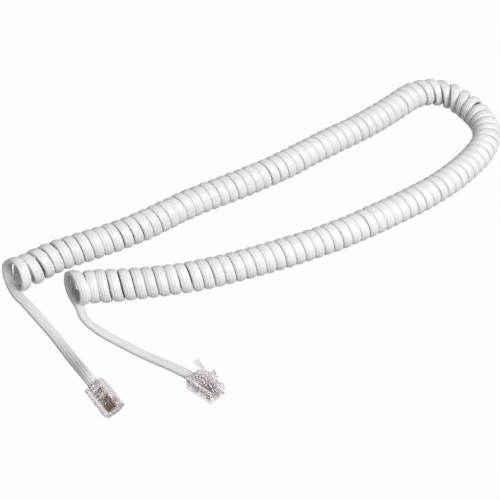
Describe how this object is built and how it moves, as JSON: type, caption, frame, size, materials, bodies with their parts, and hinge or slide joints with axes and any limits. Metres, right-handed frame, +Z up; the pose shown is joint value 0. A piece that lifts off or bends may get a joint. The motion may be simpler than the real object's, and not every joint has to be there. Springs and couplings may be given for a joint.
{
  "type": "coiled handset cord",
  "caption": "White coiled flat handset cord of a hand controller, lying as a hairpin, with a flat lead and a clear modular plug at each end.",
  "frame": {"origin": "middle of the footprint on the surface that the cord lies on", "axes": "+X from the coil's two mouths to its bend, +Y from the plugs to the far strand, +Z up"},
  "size_m": [0.2363, 0.1234, 0.0135],
  "materials": {
    "white_jacket": "semi-gloss white flexible PVC jacket",
    "clear_housing": "clear moulded polycarbonate",
    "gold_contact": "gold-plated spring-hard contact blade",
    "copper_core": "bare copper tinsel",
    "black_insulation": "black conductor insulation",
    "red_insulation": "red conductor insulation",
    "green_insulation": "green conductor insulation",
    "yellow_insulation": "yellow conductor insulation"
  },
  "bodies": {
    "cord": {"coil_jacket": "white_jacket", "lead_a": "white_jacket", "lead_b": "white_jacket", "plug_a_housing": "clear_housing", "plug_a_jacket_end": "white_jacket", "plug_a_contact_black": "gold_contact", "plug_a_wire_black": "black_insulation", "plug_a_core_black": "copper_core", "plug_a_contact_red": "gold_contact", "plug_a_wire_red": "red_insulation", "plug_a_core_red": "copper_core", "plug_a_contact_green": "gold_contact", "plug_a_wire_green": "green_insulation", "plug_a_core_green": "copper_core", "plug_a_contact_yellow": "gold_contact", "plug_a_wire_yellow": "yellow_insulation", "plug_a_core_yellow": "copper_core", "plug_b_housing": "clear_housing", "plug_b_jacket_end": "white_jacket", "plug_b_contact_black": "gold_contact", "plug_b_wire_black": "black_insulation", "plug_b_core_black": "copper_core", "plug_b_contact_red": "gold_contact", "plug_b_wire_red": "red_insulation", "plug_b_core_red": "copper_core", "plug_b_contact_green": "gold_contact", "plug_b_wire_green": "green_insulation", "plug_b_core_green": "copper_core", "plug_b_contact_yellow": "gold_contact", "plug_b_wire_yellow": "yellow_insulation", "plug_b_core_yellow": "copper_core"},
    "latch_a": {"plug_a_latch": "clear_housing"},
    "latch_b": {"plug_b_latch": "clear_housing"}
  },
  "joints": [
    {"name": "latch_a_press", "type": "hinge", "parent": "cord", "child": "latch_a", "pos_m": [-0.11117, -0.04873, 0.0033], "axis": [-0.8651, 0.0226, -0.5011], "range_deg": [-22, 0], "stiffness_Nm_per_rad": 0.02},
    {"name": "latch_b_press", "type": "hinge", "parent": "cord", "child": "latch_b", "pos_m": [-0.07638, -0.05926, 0.0062], "axis": [0.9563, 0.2924, 0], "range_deg": [-30, 0], "stiffness_Nm_per_rad": 0.02}
  ]
}
